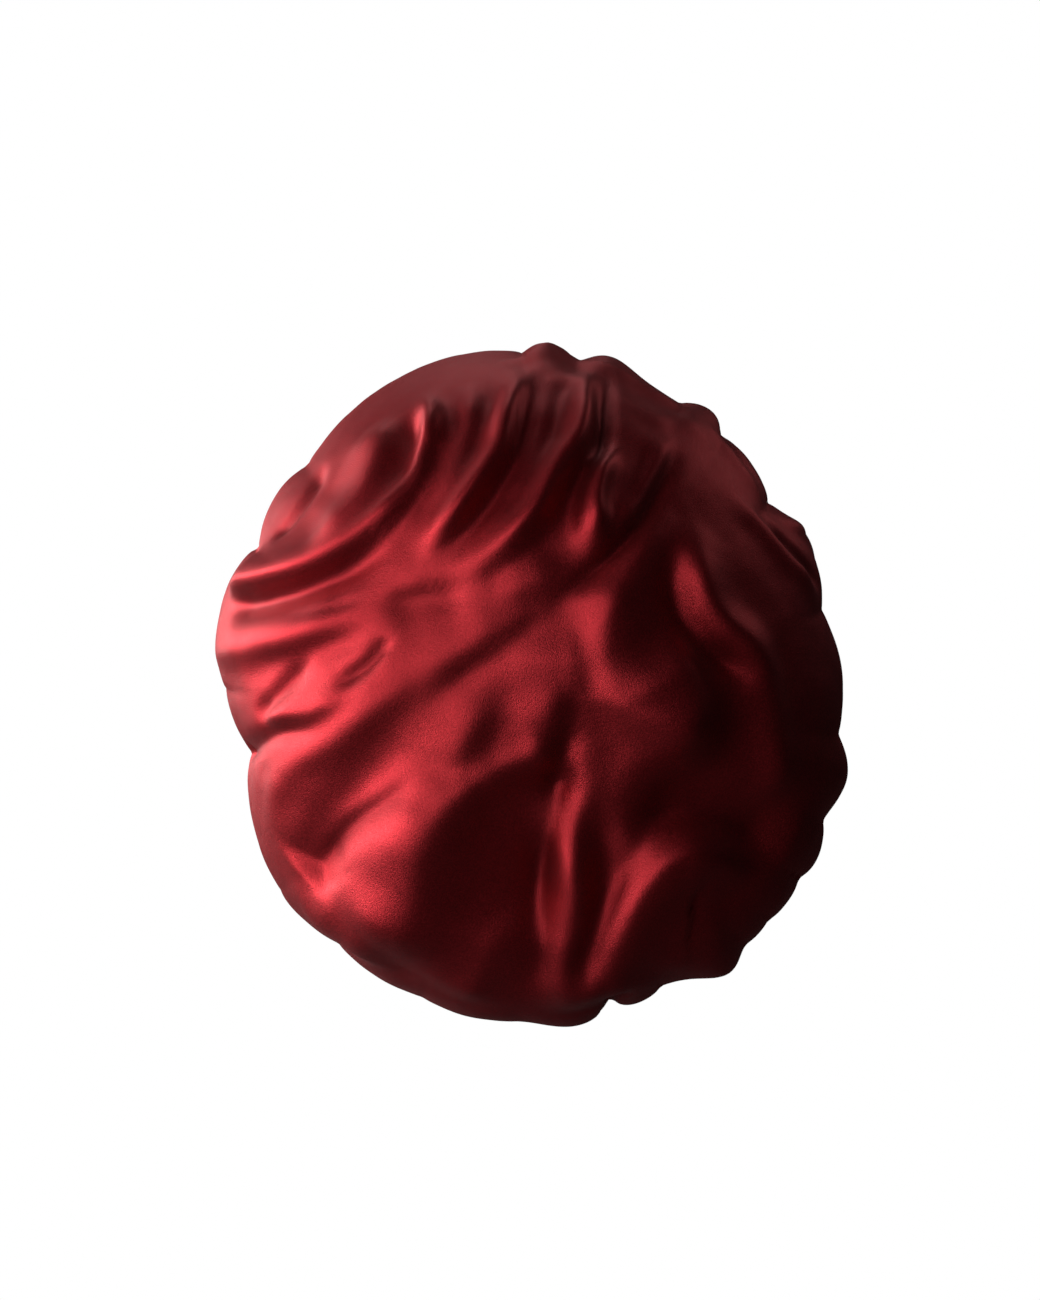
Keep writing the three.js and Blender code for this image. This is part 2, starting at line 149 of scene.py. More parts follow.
# Folds pulled across the back. A fold's path runs through places in X and Z, as seen from behind at
# the plane of the widest ring. Height is outwards, or inwards when negative. Left and right are half
# widths on the two sides of the path, looking along it from outside. The fades are the shares of its
# length that rise and fall.
Fold = namedtuple("Fold", "name height left right fade_in fade_out path")
FOLDS = [
    Fold("outer crease", -2.5, 4, 5, 0.2, 0.3,
         [(-122, 96), (-115, 103), (-108, 112), (-102, 122), (-99, 132)]),
    Fold("brow roll", 5, 15, 7, 0.25, 0.25,
         [(-103, 93), (-88, 106), (-78, 118), (-72, 130), (-69, 142), (-69, 155)]),
    Fold("brow hollow", -3, 8, 6, 0.35, 0.3, [(-67, 119), (-61, 128), (-57, 137), (-55, 147), (-57, 157)]),
    Fold("temple ridge", 9, 16, 6, 0.2, 0.4,
         [(-140, 73), (-130, 75.5), (-119, 79), (-106, 83), (-92, 89.5), (-79, 98), (-69, 108.5),
          (-62, 119), (-57, 130), (-54, 140)]),
    Fold("temple ridge end", 8, 6, 5, 0.3, 0.35,
         [(-81, 97), (-73, 102), (-62, 112), (-55, 121), (-50, 130), (-47.5, 139), (-45, 148),
          (-45, 158), (-50, 167)]),
    Fold("temple valley", -5, 5, 10, 0.2, 0.3,
         [(-140, 66), (-128, 69), (-119, 72), (-109, 75.5), (-99, 80), (-89, 85), (-79, 92),
          (-69, 101.5), (-61, 113)]),
    Fold("temple valley end", -4, 6, 5, 0.4, 0.3,
         [(-72, 100), (-62, 109), (-55, 119), (-49, 129), (-45.5, 140), (-43, 151)]),
    Fold("short brow ridge", 2.5, 5, 5, 0.35, 0.3,
         [(-50, 108), (-41, 120), (-34, 131), (-29.5, 142), (-27, 152), (-26.5, 162), (-28, 172)]),
    Fold("short brow valley", -2, 5, 7, 0.3, 0.3,
         [(-36, 125), (-28, 138), (-22, 150), (-17, 162), (-13, 173)]),
    Fold("brow ridge", 9.5, 9, 5, 0.25, 0.45,
         [(-56, 88), (-45, 98), (-33.5, 110), (-25, 120), (-17.5, 130), (-11, 141), (-8.5, 151),
          (-6, 161), (-2, 171), (2, 180)]),
    Fold("brow valley", -4, 5, 8, 0.35, 0.5,
         [(-47, 93), (-36, 99), (-26, 108), (-18, 118), (-12, 129), (-6, 141), (-2, 152), (1, 163),
          (3, 173), (5, 181)]),
    Fold("slim ridge", 2, 5, 5, 0.3, 0.3,
         [(-24, 104), (-16, 113), (-9, 122), (-3, 131), (2, 141), (6, 151), (8, 162), (9, 170)]),
    Fold("slim valley", -3, 6, 6, 0.35, 0.15,
         [(-18, 98), (-9, 109), (-1, 120), (5, 131), (10, 141), (14, 152), (18, 165), (21, 174)]),
    Fold("top ridge", 11.5, 10, 6, 0.3, 0.4,
         [(-40, 84), (-24, 88), (-9, 98), (3, 110), (9.5, 122), (16, 133), (25, 144), (28, 155),
          (28, 166), (30, 178)]),
    Fold("knob ridge", 2.5, 14, 6, 0.4, 0.4, [(-18, 77), (-4, 78), (9, 82), (20, 88)]),
    Fold("top valley", -6.5, 7, 5, 0.3, 0.55,
         [(17, 97), (20, 107), (23, 117), (27, 128), (33, 138), (36, 149), (37, 160), (38, 170),
          (38, 178)]),
    Fold("parting ridge", 11, 8, 6, 0.35, 0.4,
         [(28, 88), (31, 98), (32, 108), (32, 118), (34, 128), (38, 137), (42, 147)]),
    Fold("parting valley", -3, 5, 7, 0.35, 0.4, [(44, 112), (50, 122), (55, 133), (61, 146)]),
    Fold("crease ridge", 4, 11, 4, 0.3, 0.35,
         [(24, 84), (34, 95), (44, 105), (51, 115), (57, 126), (63, 137), (70, 150)]),
    Fold("long crease", -4, 3.5, 4, 0.3, 0.35,
         [(6, 65), (20, 75), (32, 85), (41, 93), (49, 101), (56, 110), (62, 120), (68, 130), (75, 142)]),
    Fold("band ridge", 4, 9, 10, 0.3, 0.4, [(20, 58), (32, 70), (44, 82), (55, 94), (64, 106), (71, 117)]),
    Fold("long hollow", -6.5, 13, 14, 0.08, 0.5,
         [(-107, -64), (-102, -50), (-94, -34), (-83, -22), (-71, -12), (-59, -2), (-50, 9), (-43, 20)]),
    Fold("long line", -1.5, 5, 7, 0.35, 0.3,
         [(-52, 16), (-40, 28), (-27, 38), (-12, 48), (4, 60), (18, 71)]),
    Fold("plateau edge", 2, 20, 9, 0.3, 0.4,
         [(-108, -4), (-92, 8), (-76, 20), (-60, 31), (-44, 41), (-28, 50), (-12, 60), (4, 70), (18, 80)]),
    Fold("long ridge", 3, 14, 6, 0.3, 0.4, [(-38, -14), (-33, -4), (-27, 6), (-20, 16), (-13, 26)]),
    Fold("leaf valley", -0.8, 7, 9, 0.4, 0.4,
         [(-30, -2), (-22, 6), (-15, 13), (-8, 20.5), (-2, 29), (2, 38)]),
    Fold("leaf", 1.2, 14, 8, 0.3, 0.3, [(-4, 6), (8, 12), (16, 20), (20, 30)]),
    Fold("leaf crease", -1.2, 6, 5, 0.35, 0.3, [(-26, -8), (-14, -4), (-2, 1), (8, 5)]),
    Fold("middle pinch", -4.5, 6, 6, 0.25, 0.25,
         [(10, -30), (15, -16), (18, -4), (21, 8), (22, 20), (21, 33)]),
    Fold("middle rise", 4.5, 22, 7, 0.35, 0.35, [(22, -2), (23, 14), (22, 30), (20, 46), (16.5, 62)]),
    Fold("sling ridge", 13.5, 26, 20, 0.3, 0.35,
         [(-66, -104), (-59, -90), (-55, -76), (-53, -62), (-50, -48), (-43, -36), (-33, -25),
          (-21, -15)]),
    Fold("sling lobe", 3.5, 18, 18, 0.35, 0.35, [(-84, -98), (-76, -86), (-69, -74), (-62, -62)]),
    Fold("lower lobe", 6, 22, 12, 0.4, 0.4,
         [(-110, -62), (-104, -74), (-95, -84), (-83, -92), (-69, -100), (-55, -107)]),
    Fold("sling ridge end", 6, 10, 9, 0.35, 0.2,
         [(-46, -33), (-33, -24), (-20, -16), (-7, -9.5), (6, -3), (14, 6)]),
    Fold("sling hollow", -11, 27, 9, 0.35, 0.2,
         [(-4, -100), (1, -86), (4, -72), (7, -58), (10, -43), (13, -29), (17, -15), (22, -3)]),
    Fold("upper sling valley", -3.8, 4.5, 9, 0.3, 0.25,
         [(-106, -68), (-99, -55), (-90, -43.5), (-81, -35.5), (-71, -29), (-62, -22.5), (-53, -15),
          (-48, -10)]),
    Fold("side ridge", 3, 10, 8, 0.3, 0.3,
         [(-118, -52), (-121, -36), (-119, -22), (-113, -12), (-103, -4), (-91, 3), (-79, 12),
          (-66, 22), (-52, 32)]),
    Fold("lower ear notch", -3, 5, 4.5, 0.05, 0.4,
         [(-138, -6), (-129, 0), (-120, 5), (-111, 7), (-102, 8), (-94, 10)]),
    Fold("ear knuckle", 3, 9, 4.5, 0.2, 0.3,
         [(-128, 13), (-119, 14), (-110, 15), (-102, 17), (-93, 22), (-83, 29)]),
    Fold("ear crease", -3.4, 4.5, 6, 0.25, 0.35,
         [(-130, 12), (-123, 20), (-116, 29), (-109, 37), (-101, 42)]),
    Fold("short crease", -3.4, 4, 3.5, 0.35, 0.2,
         [(-93, 29), (-85, 33), (-78, 38), (-73, 43), (-69, 49), (-66, 55)]),
    Fold("short crease ridge", 0.5, 6, 5, 0.3, 0.3, [(-92, 36), (-81, 42), (-74, 49)]),
    Fold("ear valley", -2.4, 6, 12, 0.35, 0.35,
         [(-136, 37), (-122, 40), (-108, 44), (-92, 50), (-76, 55.5), (-60, 60)]),
    Fold("ear roll", 4, 17, 7, 0.4, 0.3,
         [(-148, 42), (-134, 45), (-120, 49), (-107, 54), (-94, 59), (-82, 64), (-70, 68)]),
    Fold("plateau hollow", -2.4, 16, 14, 0.35, 0.35, [(-70, 56), (-54, 58), (-38, 61), (-22, 66)]),
    Fold("plateau shade", -3, 5, 10, 0.3, 0.4, [(-74, 68), (-59, 71), (-44, 74), (-30, 76), (-18, 79)]),
    Fold("ear line", -0.8, 2.5, 3, 0.3, 0.3, [(-116, 60), (-100, 64), (-87, 68), (-74, 73)]),
    Fold("nape ridge", 6.5, 10, 10, 0.2, 0.35,
         [(17, -130), (18, -114), (20, -99), (24, -85), (24, -71), (21, -57), (16, -42), (15, -27),
          (18, -12)]),
    Fold("nape valley", -4, 9, 8, 0.25, 0.3,
         [(24, -122), (27, -107), (32, -92), (36, -76), (38, -60), (37, -44), (34, -28), (30, -12)]),
    Fold("nape side valley", -4, 9, 5, 0.25, 0.3,
         [(6, -122), (7, -106), (8, -90), (9, -74), (9, -58), (10, -42), (13, -28)]),
    Fold("belly", 4, 26, 12, 0.3, 0.3, [(-32, -124), (-25, -108), (-19, -94), (-14, -80)]),
    Fold("pouch arch", 11, 10, 22, 0.2, 0.3,
         [(29, -128), (32, -114), (37, -100), (43, -88), (49, -76), (57, -64), (67, -54), (78, -49),
          (90, -51), (99, -59), (106, -70)]),
    Fold("pouch side valley", -3, 7, 6, 0.2, 0.3,
         [(26, -116), (30, -102), (35, -90), (40, -78), (46, -66), (53, -55), (62, -46), (72, -39)]),
    Fold("pouch hollow", -11, 20, 11, 0.3, 0.25,
         [(42, -44), (52, -37), (65, -33), (80, -32), (96, -36), (112, -43), (126, -54)]),
    Fold("pouch bulge", 2, 24, 24, 0.3, 0.3, [(62, -112), (80, -92), (100, -80)]),
    Fold("hem crease", -4, 3, 4, 0.2, 0.3, [(38, -134), (43, -123), (49, -114)]),
    Fold("far ridge", 8, 9, 13, 0.3, 0.4,
         [(124, 37), (111, 43), (100, 50), (92, 58), (86, 67), (82.5, 78), (82, 90), (84, 100),
          (86, 110)]),
    Fold("far ridge end", 4.5, 11, 12, 0.3, 0.3,
         [(128, -32), (122, -15), (119, 1), (117, 16), (113, 30), (106, 41), (98, 49)]),
    Fold("far hollow", -7.5, 9, 7, 0.3, 0.4,
         [(114, 31), (103, 38), (92, 46), (83, 55), (76, 65), (72, 76), (71.5, 88), (73, 99)]),
    Fold("middle ridge", 8, 11, 24, 0.3, 0.4,
         [(70, -8), (64, 2), (56, 12), (47, 22), (41, 31), (38.5, 40), (38.5, 49), (40, 57), (44, 65),
          (51, 74), (59, 85), (66, 95)]),
    Fold("middle hollow", -1.5, 14, 12, 0.3, 0.3, [(68, 38), (63, 47), (60, 57), (62, 67), (67, 78)]),
    Fold("middle shelf", 4.5, 14, 14, 0.3, 0.3,
         [(44, -40), (52, -24), (60, -9), (70, 3), (84, 11), (98, 12)]),
    Fold("shelf rise", 11, 28, 14, 0.3, 0.35, [(64, -8), (72, 6), (76, 20), (73, 32), (67, 44), (61, 56)]),
    Fold("shoulder fold", 3, 5, 8, 0.3, 0.3,
         [(95, 122), (104, 113), (112, 104), (118, 96), (125, 87), (132, 79), (141, 67)]),
    Fold("shoulder valley", -3, 5, 6, 0.3, 0.35, [(113, 109), (121, 99), (128, 91), (135, 82), (142, 71)]),
    Fold("shoulder puff", 3, 8, 6, 0.3, 0.3, [(119, 110), (129, 100), (136, 90), (141, 77)]),
    Fold("upper shoulder fold", 2.5, 5, 8, 0.3, 0.35,
         [(86, 150), (94, 141), (102, 131), (110, 121), (118, 111)]),
    Fold("upper shoulder valley", -2.5, 4.5, 5, 0.3, 0.35, [(92, 149), (100, 139), (108, 129), (115, 119)]),
    Fold("brow edge", 2.5, 3, 9, 0.15, 0.2,
         [(-14, 181), (-2, 182), (10, 184), (22, 182), (34, 178), (50, 172), (66, 164), (80, 157)]),
    Fold("brow edge valley", -2.5, 3, 3, 0.2, 0.25,
         [(-4, 186), (10, 188), (24, 185), (40, 181), (56, 174)]),
    Fold("shoulder", 2, 10, 10, 0.35, 0.35, [(52, 154), (64, 155), (76, 152), (88, 145)]),
]

# Steps between two places of a path, and how many half widths from it a fold is worked out
PATH_STEPS = 7
FOLD_REACH = 3

# A valley gets its full painted shade when its depth over its squared half width, in 1/mm, is this or more
PAINTED_SHADE_FULL_BEND = 0.25

# Fold paths are laid out as seen from behind, from this distance and looking at this place, as the
# camera does. Past the outline, a path runs on over the underside at this many millimetres a station.
VIEW_X = -2.9
VIEW_Z = 42.1
VIEW_DISTANCE = 2200
VIEW_STEPS = 4
PAST_EDGE_REACH = 90

# Pleats that the elastic sets off: fine at the band, merging into fewer and wider ones further out.
# A row holds how many there are round the head, their height, where they start and end, by
# station, and how unevenly they are spaced.
Pleats = namedtuple("Pleats", "count height band_end peak far_end sway")
PLEATS = [
    Pleats(84, 0.9, 2.02, 1.97, 1.80, 0.25),
    Pleats(46, 2.4, 2.00, 1.88, 1.52, 0.30),
    Pleats(23, 3.6, 1.98, 1.68, 1.20, 0.35),
    Pleats(12, 3.2, 1.90, 1.42, 1.02, 0.40),
]
PLEAT_SEED = 7
PLEAT_WAVES = (2, 3, 5, 8, 13)
PLEAT_UNEVENNESS = 0.16
PLEAT_LEAN = 0.6
PLEAT_LEAN_WAVES = 3
PLEAT_ROUNDING = 0.06

# Slow swells all over the cloth, with others on them that are lower and closer together
DRIFT_HEIGHT = 0.6
DRIFT_LENGTH = 26
FINE_DRIFT_HEIGHT = 0.3
FINE_DRIFT_CLOSENESS = 2.3

# Ruches of the casing: how unevenly they are spaced, and how each wavers across and round the band
RUCHE_COUNT = 112
RUCHE_SEED = 11
RUCHE_WAVES = (2, 3, 5, 9)
RUCHE_SWAY = 1.2
RUCHE_WAVER = 0.35
RUCHE_WAVER_ACROSS = 2.2
RUCHE_WAVER_ROUND = 5

# The casing's section is a flat oval. Its half thickness and half width are shares of the band's,
# and each ruche adds its own share.
OVAL_THICKNESS_POWER = 0.6
OVAL_WIDTH_POWER = 0.75
CASING_THICKNESS = 0.86
CASING_WIDTH = 0.985
RUCHE_THICKNESS = 0.3
RUCHE_WIDTH = 0.012
CASING_STEPS = 720
CASING_SECTION_STEPS = 24


# ---------------------------------------------------------------- form of the pouch, in millimetres


def smooth_step(value):
    value = np.clip(value, 0, 1)
    return value * value * (3 - 2 * value)


def gathered_wave(phase):
    """The section of gathered cloth: round tops and tight valleys, from about -0.5 to 1."""
    return 2 * np.sqrt(np.cos(phase) ** 2 + PLEAT_ROUNDING) - 1


def puffed_radius(angle):
    """Radius of the widest ring, with its puffs."""
    pinches = np.array([puff.pinch for puff in PUFFS])
    radii = np.array([puff.radius for puff in PUFFS])
    swells = np.array([puff.swell for puff in PUFFS])
    peaks = np.array([puff.peak for puff in PUFFS])
    points = np.array([puff.point for puff in PUFFS])
    degrees = np.degrees(angle) % 360
    start = (np.searchsorted(pinches, degrees, side="right") - 1) % len(PUFFS)
    end = (start + 1) % len(PUFFS)
    along = ((degrees - pinches[start]) % 360) / ((pinches[end] - pinches[start]) % 360)
    line = radii[start] * (1 - along) + radii[end] * along
    warped = along ** (math.log(0.5) / np.log(peaks[start]))
    return line + swells[start] * np.abs(np.sin(np.pi * warped)) ** points[start]


def even_radius(angle):
    """The same ring with its puffs evened out."""
    shares = np.linspace(-1, 1, 2 * SMOOTHING_STEPS + 1)
    weights = np.cos(shares * QUARTER_TURN) + SMOOTHING_FLOOR
    turns = np.radians(shares * SMOOTHING_SPAN)
    return sum(w * puffed_radius(angle + t) for w, t in zip(weights, turns)) / weights.sum()


def opening_point(angle):
    along = OPENING_HALF_LONG * np.sin(angle)
    across = OPENING_HALF_WIDE * np.cos(angle)
    return np.stack([across, along * math.cos(OPENING_TILT), along * math.sin(OPENING_TILT)], -1)


def opening_outwards(angle):
    along = OPENING_HALF_WIDE * np.sin(angle)
    across = OPENING_HALF_LONG * np.cos(angle)
    out = np.stack([across, along * math.cos(OPENING_TILT), along * math.sin(OPENING_TILT)], -1)
    return out / np.linalg.norm(out, axis=-1, keepdims=True)


def smooth_point(angle, station):
    """Smooth pouch: station is 0 at the middle of the back, 1 at the widest ring and 2 at the band."""
    cos, sin = np.cos(angle), np.sin(angle)
    radius = even_radius(angle)
    widest_y = WIDEST_Y + WIDEST_LEAN * sin
    turn = np.clip(station, 0, 1) * QUARTER_TURN
    out = radius * np.sin(turn) ** (2 / BACK_FULLNESS)
    forward = (widest_y - BACK_Y) * (1 - np.cos(turn) ** (2 / BACK_FULLNESS))
    back = np.stack([BACK_X + out * cos, BACK_Y + forward, BACK_Z + out * sin], -1)

    widest = np.stack([BACK_X + radius * cos, widest_y, BACK_Z + radius * sin], -1)
    roll = np.stack([0 * sin, ROLL_FORWARD + ROLL_FORWARD_LEAN * sin, 0 * sin], -1)
    rim = opening_point(angle) - OPENING_NORMAL * (BAND_WIDTH / 2 + SEAM_GAP)
    flare = opening_outwards(angle) * FLARE_OUT - OPENING_NORMAL * FLARE_BACK
    t = np.clip(station - 1, 0, 1)[..., None]
    under = (
        widest * (1 - t) ** 3
        + 3 * (widest + roll) * t * (1 - t) ** 2
        + 3 * (rim + flare) * t * t * (1 - t)
        + rim * t ** 3
    )
    return np.where((station <= 1)[..., None], back, under)


def smooth_normal(angle, station):
    """Outward direction of the smooth pouch."""
    low = np.maximum(station - NORMAL_STEP, 0)
    high = np.minimum(station + NORMAL_STEP, 2)
    along = smooth_point(angle, high) - smooth_point(angle, low)
    around = smooth_point(angle + NORMAL_STEP, station) - smooth_point(angle - NORMAL_STEP, station)
    normal = np.cross(along, around)
    length = np.linalg.norm(normal, axis=-1, keepdims=True)
    straight_back = np.array([0.0, -1.0, 0.0])
    return np.where(length > TINY, normal / np.maximum(length, TINY), straight_back)


def place_on_back(x, z):
    """The smooth pouch's point seen at X and Z of the widest ring's plane, from behind the wearer."""
    point = np.stack([x, np.full_like(x, WIDEST_Y), z], -1)
    for _ in range(VIEW_STEPS):
        nearer = 1 - (WIDEST_Y - point[:, 1]) / VIEW_DISTANCE
        across = VIEW_X + (x - VIEW_X) * nearer
        above = VIEW_Z + (z - VIEW_Z) * nearer
        angle = np.arctan2(above - BACK_Z, across - BACK_X)
        reach = np.hypot(above - BACK_Z, across - BACK_X)
        radius = even_radius(angle)
        inside = np.arcsin(np.clip(reach / radius, 0, 1) ** (BACK_FULLNESS / 2)) / QUARTER_TURN
        past = 1 + (reach - radius) / PAST_EDGE_REACH
        point = smooth_point(angle, np.where(reach > radius, past, inside))
    return point


def smooth_path(places):
    """A smooth line through a few places, as many short steps."""
    points = np.array(places, float)
    points = np.vstack([2 * points[0] - points[1], points, 2 * points[-1] - points[-2]])
    line = []
    for before, start, end, after in zip(points, points[1:], points[2:], points[3:]):
        for t in np.linspace(0, 1, PATH_STEPS, endpoint=False):
            line.append(0.5 * (
                2 * start + (end - before) * t
                + (2 * before - 5 * start + 4 * end - after) * t ** 2
                + (3 * start - before - 3 * end + after) * t ** 3
            ))
    line.append(points[-2])
    return np.array(line)


def nearest_on_line(line, points, normals):
    """How far each point is from the line, how far to its left, and at what share of its length."""
    steps = np.linalg.norm(np.diff(line, axis=0), axis=1)
    travelled = np.concatenate([[0], np.cumsum(steps)]) / steps.sum()
    nearest = np.full(len(points), np.inf)
    side = np.zeros(len(points))
    along = np.zeros(len(points))
    for index, start in enumerate(line[:-1]):
        step = line[index + 1] - start
        length = steps[index]
        share = np.clip((points - start) @ step / length ** 2, 0, 1)
        offset = points - start - share[:, None] * step
        distance = np.linalg.norm(offset, axis=1)
        closer = distance < nearest
        nearest[closer] = distance[closer]
        leaning = np.einsum("ij,ij->i", offset, np.cross(normals, step / length))
        side[closer] = leaning[closer]
        passed = travelled[index] + share * (travelled[index + 1] - travelled[index])
        along[closer] = passed[closer]
    return nearest, side, along


def fold_lift(points, normals):
    """How far all the folds lift the cloth at points of the smooth pouch, and how much painted shade its
    tight valleys get.
    """
    lift = np.zeros(len(points))
    crease = np.zeros(len(points))
    for fold in FOLDS:
        places = smooth_path(fold.path)
        line = place_on_back(places[:, 0], places[:, 1])
        reach = FOLD_REACH * max(fold.left, fold.right)
        near = np.all((points > line.min(0) - reach) & (points < line.max(0) + reach), axis=1)
        near = np.where(near)[0]
        nearest, side, along = nearest_on_line(line, points[near], normals[near])
        leftness = 0.5 + 0.5 * np.clip(side / np.maximum(nearest, TINY), -1, 1)
        width = fold.left * leftness + fold.right * (1 - leftness)
        fade = smooth_step(along / fold.fade_in) * smooth_step((1 - along) / fold.fade_out)
        lift[near] += fold.height * fade * np.exp(-(nearest / width) ** 2)
        # Tight valleys also get painted shade: a mask, kept on the crown, that darkens the satin's colour
        # there.
        if fold.height < 0:
            narrow = min(fold.left, fold.right)
            tightness = min(1, -fold.height / narrow ** 2 / PAINTED_SHADE_FULL_BEND)
            crease[near] += tightness * fade * np.exp(-(nearest / narrow) ** 2)
    return lift, np.clip(crease, 0, 1)


def puff_lift(angle, station):
    reach = np.where(station < 1, PUFF_REACH_BACK, PUFF_REACH_UNDER)
    return (puffed_radius(angle) - even_radius(angle)) * np.exp(-((station - 1) / reach) ** 2)


def drift_lift(points):
    """Slow small swells, so that no stretch of cloth is quite smooth."""
    return np.array([
        DRIFT_HEIGHT * noise.noise(Vector(point) / DRIFT_LENGTH)
        + FINE_DRIFT_HEIGHT * noise.noise(Vector(point) / DRIFT_LENGTH * FINE_DRIFT_CLOSENESS)
        for point in points
    ])


def pleat_lift(angle, station):
    """Pleats with round tops and tight valleys, unevenly spaced."""
    chance = random.Random(PLEAT_SEED)
    fewest = min(row.count for row in PLEATS)
    lift = np.zeros_like(angle)
    for row in PLEATS:
        uneven = np.zeros_like(angle)
        strength = np.ones_like(angle)
        for waves in PLEAT_WAVES:
            uneven += np.sin(waves * angle + chance.uniform(0, FULL_TURN)) / waves ** 0.5
            strength += PLEAT_UNEVENNESS * np.sin(waves * angle + chance.uniform(0, FULL_TURN))
        lean = np.sin(PLEAT_LEAN_WAVES * angle + chance.uniform(0, FULL_TURN)) * (2 - station)
        sway = row.sway * (row.count / fewest)
        wave = gathered_wave(row.count * angle / 2 + sway * uneven + PLEAT_LEAN * lean)
        towards_band = smooth_step((row.band_end - station) / (row.band_end - row.peak))
        towards_back = smooth_step((station - row.far_end) / (row.peak - row.far_end))
        lift += row.height * strength * wave * towards_band * towards_back
    return lift


# ---------------------------------------------------------------- cloth pieces


def finish_mesh(bm, name):
    """A new piece from a bmesh, smooth, at the origin."""
    mesh = bpy.data.meshes.new(name)
    bm.to_mesh(mesh)
    bm.free()
    mesh.shade_smooth()
    piece = bpy.data.objects.new(name, mesh)
    bpy.context.collection.objects.link(piece)
    return piece


def lay_out(bm, places):
    """Moves each corner to its place, given in millimetres."""
    for vert, place in zip(bm.verts, places * MM):
        vert.co = place


def lay_cut(bm, places):
    """Makes the UV map that the threads follow: each corner's place on the flat cut, in millimetres."""
    uv_layer = bm.loops.layers.uv.new("cut")
    bm.verts.index_update()
    for face in bm.faces:
        for loop in face.loops:
            loop[uv_layer].uv = places[loop.vert.index] * MM


def cut_rings(flat):
    """The grid's square rings as rings of a round cut: the size and the angle of each corner's."""
    x, y = flat[:, 0], flat[:, 1]
    ring = np.maximum(np.abs(x), np.abs(y))
    safe = np.maximum(ring, TINY)
    angle = np.where(
        np.abs(x) >= np.abs(y),
        np.where(x < 0, np.pi, 0) + EIGHTH_TURN * y / np.where(x < 0, -safe, safe),
        QUARTER_TURN * np.sign(y) - EIGHTH_TURN * x / safe * np.sign(y),
    )
    return ring, angle


def make_crown():
    """One round cut of satin, gathered at its edge and shaped over the head."""
    bm = bmesh.new()
    bmesh.ops.create_grid(bm, x_segments=CLOTH_SQUARES, y_segments=CLOTH_SQUARES, size=1)
    ring, angle = cut_rings(np.array([vert.co[:] for vert in bm.verts]))
    station = np.where(
        ring < BACK_SHARE, ring / BACK_SHARE, 1 + (ring - BACK_SHARE) / (1 - BACK_SHARE)
    )
    smooth = smooth_point(angle, station)
    normal = smooth_normal(angle, station)
    lift, crease = fold_lift(smooth, normal)
    lift += drift_lift(smooth)
    lift += puff_lift(angle, station) + pleat_lift(angle, station)
    lay_out(bm, smooth + normal * lift[:, None])

    reach = ring * CUT_DIAMETER / 2
    lay_cut(bm, np.stack([reach * np.cos(angle), reach * np.sin(angle)], -1))
    bmesh.ops.recalc_face_normals(bm, faces=bm.faces)
    outwards = sum(face.normal.dot(face.calc_center_median()) * face.calc_area() for face in bm.faces)
    if outwards < 0:
        bmesh.ops.reverse_faces(bm, faces=bm.faces)

    crown = finish_mesh(bm, "satin_crown")
    # A mask of painted shade in the tight valleys, which darkens the satin's colour there
    painted_shade_layer = crown.data.attributes.new("painted_crease_shade", "FLOAT", "POINT")
    painted_shade_layer.data.foreach_set("value", crease)
    wall = crown.modifiers.new("cloth", "SOLIDIFY")
    wall.thickness = SATIN_THICKNESS * MM
    wall.offset = -1
    return crown


def make_band():
    """Satin casing ruched over elastic: a strip rolled into a flat tube, round the opening."""
    bm = bmesh.new()
    bmesh.ops.create_grid(bm, x_segments=CASING_STEPS, y_segments=CASING_SECTION_STEPS, size=1)
    flat = np.array([vert.co[:] for vert in bm.verts])
    angle = flat[:, 0] * math.pi
    across = np.cos(flat[:, 1] * math.pi)
    along = np.sin(flat[:, 1] * math.pi)

    chance = random.Random(RUCHE_SEED)
    uneven = sum(np.sin(w * angle + chance.uniform(0, FULL_TURN)) / w ** 0.5 for w in RUCHE_WAVES)
    waver = RUCHE_WAVER * np.sin(RUCHE_WAVER_ACROSS * along + RUCHE_WAVER_ROUND * angle)
    ruche = gathered_wave(RUCHE_COUNT * angle / 2 + RUCHE_SWAY * uneven + waver)
    half_thick = BAND_THICKNESS / 2 * (CASING_THICKNESS + RUCHE_THICKNESS * ruche)
    half_wide = BAND_WIDTH / 2 * (CASING_WIDTH + RUCHE_WIDTH * ruche)
    out = np.sign(across) * np.abs(across) ** OVAL_THICKNESS_POWER * half_thick
    down = np.sign(along) * np.abs(along) ** OVAL_WIDTH_POWER * half_wide
    place = opening_point(angle) + opening_outwards(angle) * out[:, None]
    lay_out(bm, place + OPENING_NORMAL * down[:, None])

    lay_cut(bm, np.stack([angle / FULL_TURN * OPENING_ROUND, along * BAND_WIDTH / 2], -1))
    bmesh.ops.remove_doubles(bm, verts=bm.verts, dist=TINY)
    bmesh.ops.recalc_face_normals(bm, faces=bm.faces)
    return finish_mesh(bm, "elastic_casing")


# ---------------------------------------------------------------- satin

# Patches of deeper shade, grain and warp threads, by how many there are in a metre. The threads run
# along the cut, so they are finer one way than the other.
SHADE_SCALE = 14
SHADE_DETAIL = 3
GRAIN_SCALE = 1300
THREAD_SCALE = (2600, 1500, 1)
FINE_DETAIL = 2

# Nearly all of a noise's values lie between these two, and the grain spreads them over its ranges
NOISE_LOW = 0.3
NOISE_HIGH = 0.7
GRAIN_TONES = (0.82, 1.18)
GRAIN_ROUGHNESS = (-0.08, 0.08)
# How much the painted shade darkens the colour in the tightest creases
PAINTED_SHADE_STRENGTH = 0.45

